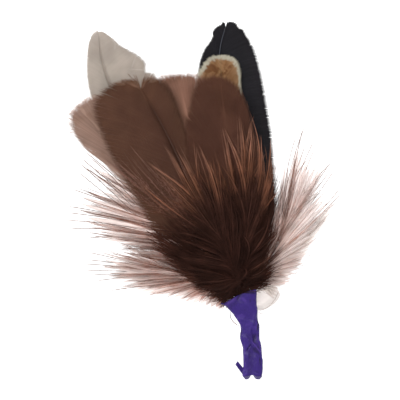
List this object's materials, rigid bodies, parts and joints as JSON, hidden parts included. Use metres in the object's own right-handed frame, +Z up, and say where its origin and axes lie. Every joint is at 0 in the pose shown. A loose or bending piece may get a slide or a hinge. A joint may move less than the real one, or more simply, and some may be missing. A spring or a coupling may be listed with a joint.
{
  "type": "bound turkey feather bunch",
  "caption": "Flat-lying bunch of dyed and natural turkey feathers and loose-barbed hackles, bound at the quills with purple tape, for trimming hats and craft work.",
  "frame": {"origin": "middle of the bunch in plan, on the surface that it lies on", "axes": "+Y along the bunch from the bound stem towards the feather tips, +Z up from the surface, +X to the right as seen from above"},
  "size_m": [0.1147, 0.154, 0.0157],
  "materials": {
    "purple_tape": "creased self-adhesive tape, satin",
    "white_vane": "natural feather vane, satin",
    "black_vane": "natural feather vane, satin",
    "barred_vane": "natural feather vane, cream tip over tan mottling, satin",
    "pale_brown_vane": "dyed feather vane, matte, thin",
    "mid_brown_vane": "dyed feather vane, matte",
    "brown_vane": "dyed feather vane, matte",
    "dark_brown_vane": "dyed feather vane, matte",
    "brown_fluff": "dyed loose barbs, matte",
    "pale_fluff": "pale loose barbs, matte, thin"
  },
  "bodies": {
    "root": {"stem_wrap": "purple_tape", "white_feather": "white_vane", "black_feather": "black_vane", "barred_feather": "barred_vane", "brown_feather_far_left": "pale_brown_vane", "brown_feather_middle": "mid_brown_vane", "brown_feather_left": "brown_vane", "brown_feather_right": "dark_brown_vane", "hackle_low_right": "pale_fluff", "hackle_low_left": "brown_fluff", "hackle_left": "brown_fluff", "hackle_right": "brown_fluff", "hackle_centre": "brown_fluff", "hackle_centre_left": "brown_fluff"}
  },
  "joints": []
}
